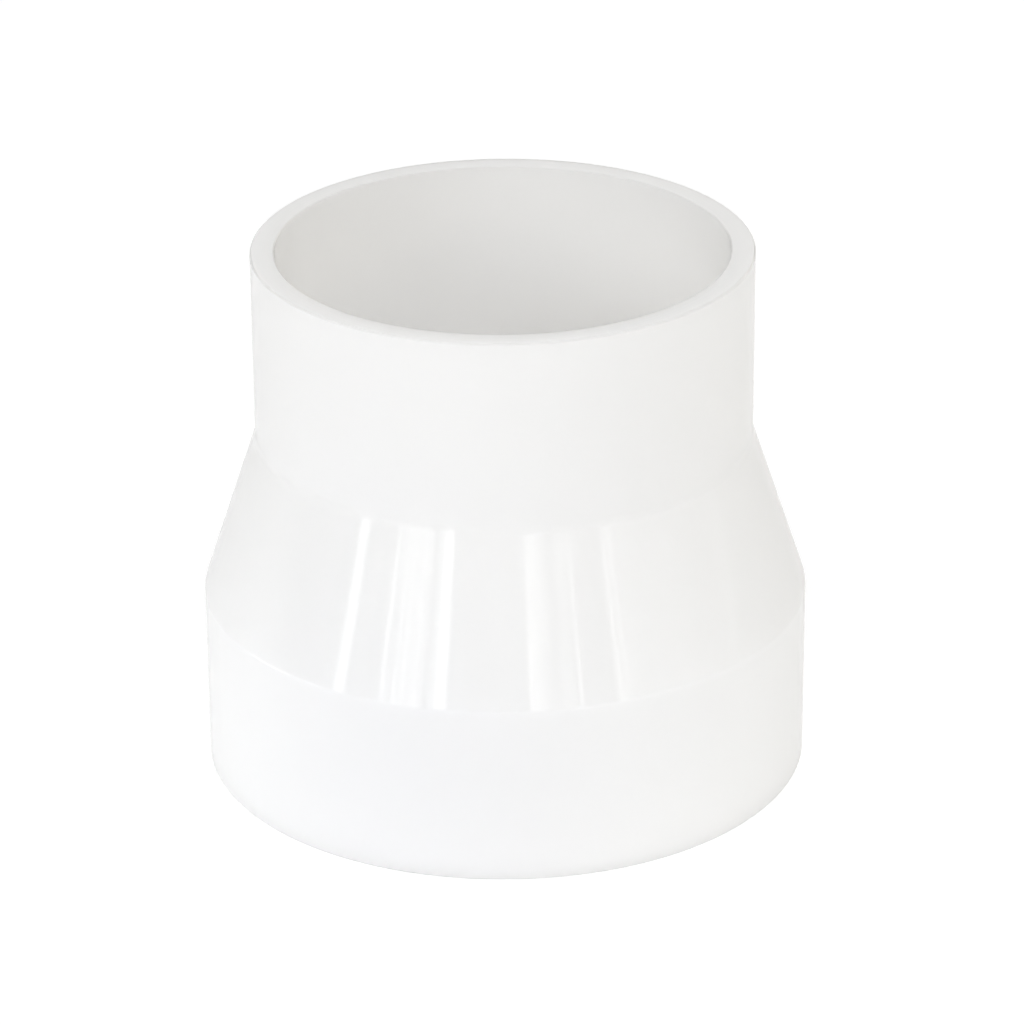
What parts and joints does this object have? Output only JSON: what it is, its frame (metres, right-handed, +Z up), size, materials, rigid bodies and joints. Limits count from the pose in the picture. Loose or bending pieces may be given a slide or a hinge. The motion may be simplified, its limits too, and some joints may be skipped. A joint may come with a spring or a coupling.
{
  "type": "pipe reducer",
  "caption": "Moulded concentric pipe reducer with plain spigot ends: a short cone joins a large pipe end to a smaller one around an open through bore.",
  "frame": {"origin": "centre of the large end face, which the part stands on", "axes": "+Z up the pipe axis, from the large end to the small end; the part is round, so X and Y are free"},
  "size_m": [0.11, 0.11, 0.098],
  "materials": {
    "body": "glossy milky white moulded plastic, unpigmented and slightly translucent, with faced ends"
  },
  "bodies": {
    "root": {"reducer_body": "body"}
  },
  "joints": []
}
